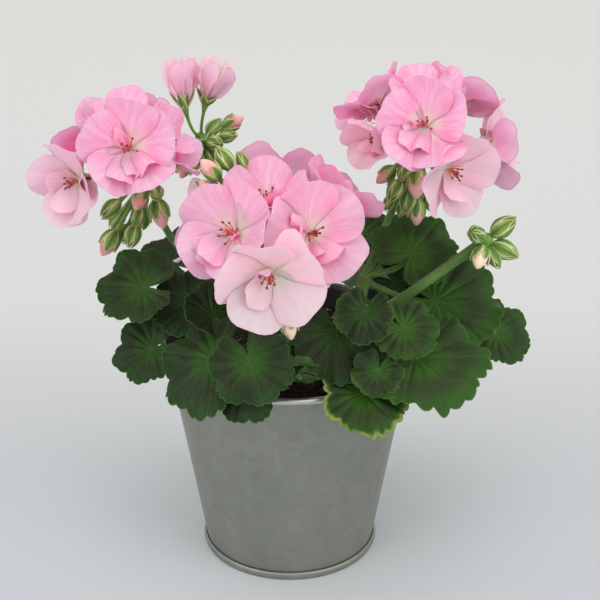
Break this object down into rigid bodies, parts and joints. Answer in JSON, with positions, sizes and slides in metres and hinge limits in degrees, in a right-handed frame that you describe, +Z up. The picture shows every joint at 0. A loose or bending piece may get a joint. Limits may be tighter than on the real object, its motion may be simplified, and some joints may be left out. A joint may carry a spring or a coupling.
{
  "type": "potted zonal geranium",
  "caption": "Zonal geranium in a tapered galvanised pot: light pink rounded flower heads on tall stalks above scalloped dark green leaves.",
  "frame": {"origin": "middle of the pot's flat underside, on the surface it stands on", "axes": "+Z up, -Y towards the side with the most open florets, +X to that viewer's right"},
  "size_m": [0.2449, 0.1998, 0.2679],
  "materials": {
    "zinc": "dull galvanised, faintly mottled",
    "soil": "damp crumbly potting soil",
    "stem": "soft, finely haired",
    "bud": "soft, finely haired",
    "petal": "velvety, slightly translucent",
    "blade": "matte, velvety, slightly translucent"
  },
  "bodies": {
    "root": {"pot_wall": "zinc", "pot_base": "zinc", "soil": "soil", "stems": "stem", "head_back_green": "bud", "head_bud_green": "bud", "head_left_green": "bud", "head_middle_green": "bud", "head_right_green": "bud", "floret_back_1": "petal", "floret_back_2": "petal", "floret_left_1": "petal", "floret_left_2": "petal", "floret_left_3": "petal", "floret_left_4": "petal", "floret_left_5": "petal", "floret_left_6": "petal", "floret_middle_1": "petal", "floret_middle_2": "petal", "floret_middle_3": "petal", "floret_middle_4": "petal", "floret_middle_5": "petal", "floret_middle_6": "petal", "floret_middle_7": "petal", "floret_right_1": "petal", "floret_right_2": "petal", "floret_right_3": "petal", "floret_right_4": "petal", "floret_right_5": "petal", "floret_right_6": "petal", "floret_right_7": "petal", "floret_right_8": "petal", "leaf_back_left": "blade", "leaf_back_left_low": "blade", "leaf_back_middle": "blade", "leaf_back_middle_low": "blade", "leaf_back_right": "blade", "leaf_back_right_low": "blade", "leaf_front_rim": "blade", "leaf_front_under": "blade", "leaf_left_behind": "blade", "leaf_left_edgeways": "blade", "leaf_left_folded": "blade", "leaf_left_front": "blade", "leaf_left_inner": "blade", "leaf_left_lower": "blade", "leaf_left_upper": "blade", "leaf_middle_inner": "blade", "leaf_middle_low": "blade", "leaf_middle_right": "blade", "leaf_middle_top": "blade", "leaf_middle_turned": "blade", "leaf_right_crinkled": "blade", "leaf_right_far": "blade", "leaf_right_front": "blade", "leaf_right_gilded": "blade", "leaf_right_inner": "blade", "leaf_right_large": "blade", "leaf_right_pale": "blade", "leaf_right_top": "blade"}
  },
  "joints": []
}
